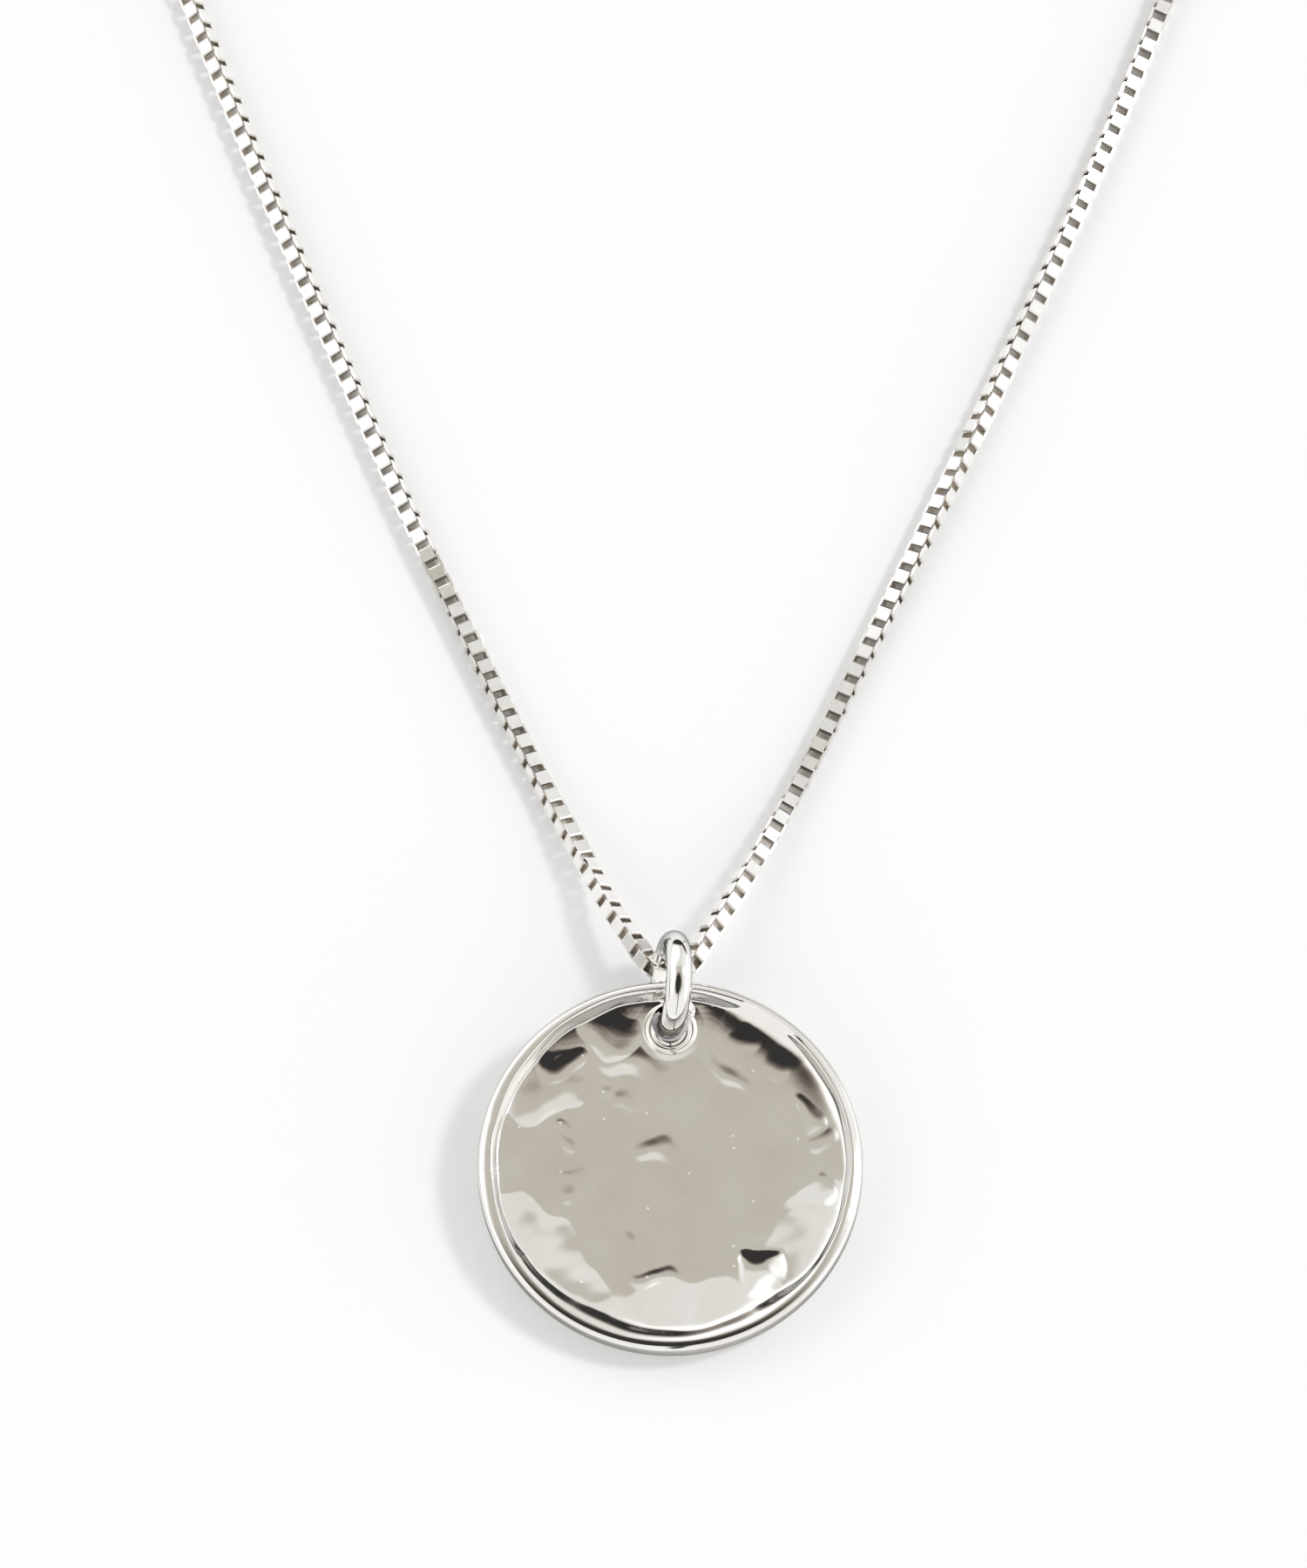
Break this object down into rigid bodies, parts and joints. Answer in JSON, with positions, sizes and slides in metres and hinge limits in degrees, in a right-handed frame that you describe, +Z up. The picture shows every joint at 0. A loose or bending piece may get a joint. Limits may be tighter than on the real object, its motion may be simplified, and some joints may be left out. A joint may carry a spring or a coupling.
{
  "type": "coin necklace",
  "caption": "Hammered silver coin with a raised rim, hung by a round jump ring from a fine box chain that closes in a plain clasp, laid out as a long loop.",
  "frame": {"origin": "middle of the laid-out necklace's footprint, on the surface that it lies on", "axes": "+Z up from the surface, +Y from the coin towards the clasp, +X to the right as seen in the picture"},
  "size_m": [0.097, 0.211, 0.0056],
  "materials": {
    "coin_silver": "polished silver, hammered by hand, with fine scratches",
    "ring_silver": "bright polished silver wire",
    "chain_silver": "polished silver strip bent into box links"
  },
  "bodies": {
    "root": {"coin": "coin_silver", "jump_ring": "ring_silver", "chain": "chain_silver", "end_ring_left": "chain_silver", "end_ring_right": "chain_silver", "clasp": "ring_silver"}
  },
  "joints": []
}
